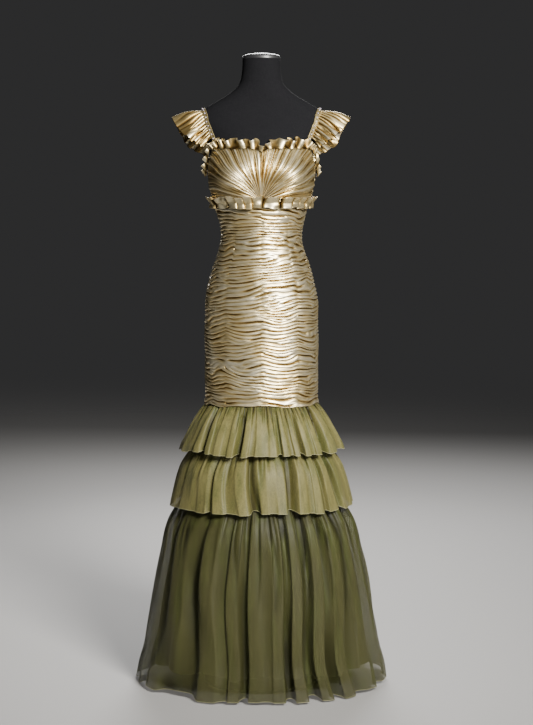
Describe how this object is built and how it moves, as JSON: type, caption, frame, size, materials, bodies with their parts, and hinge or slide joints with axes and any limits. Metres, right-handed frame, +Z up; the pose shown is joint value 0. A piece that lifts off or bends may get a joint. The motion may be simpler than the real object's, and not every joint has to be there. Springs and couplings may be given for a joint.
{
  "type": "mermaid gown on a dress form",
  "caption": "Floor-length mermaid gown with a ruched body, ruffle trims, flutter sleeves and a tiered gathered skirt, worn by a limbless dress form on a round base.",
  "frame": {"origin": "centre of the stand base's underside, on the floor", "axes": "+Z up along the stand's pole, -Y the gown's front, +X the side on a viewer's right who faces the front"},
  "size_m": [0.6941, 0.5724, 1.7163],
  "materials": {
    "satin": "champagne gold silk-like satin, glossy across the folds",
    "chiffon": "sheer shot chiffon, beige with an olive green cast",
    "lining": "opaque olive green acetate lining",
    "braid": "antique gold metallic braid",
    "form_cover": "matte black jersey",
    "form_cap": "satin black paint",
    "stand_steel": "satin black powder coat"
  },
  "bodies": {
    "root": {"form_torso": "form_cover", "form_neck_cap": "form_cap", "stand_base": "stand_steel", "stand_pole": "stand_steel", "body_back_left": "satin", "body_side_front_left": "satin", "body_centre_front_left": "satin", "body_centre_front_right": "satin", "body_side_front_right": "satin", "body_back_right": "satin", "bust_front": "satin", "bust_back_left": "satin", "bust_back_right": "satin", "neckline_ruffle": "satin", "underbust_ruffle": "satin", "strap_left": "braid", "strap_right": "braid", "sleeve_left": "satin", "sleeve_right": "satin", "skirt_lining": "lining", "tier_top": "chiffon", "tier_middle": "chiffon", "tier_long": "chiffon"}
  },
  "joints": []
}
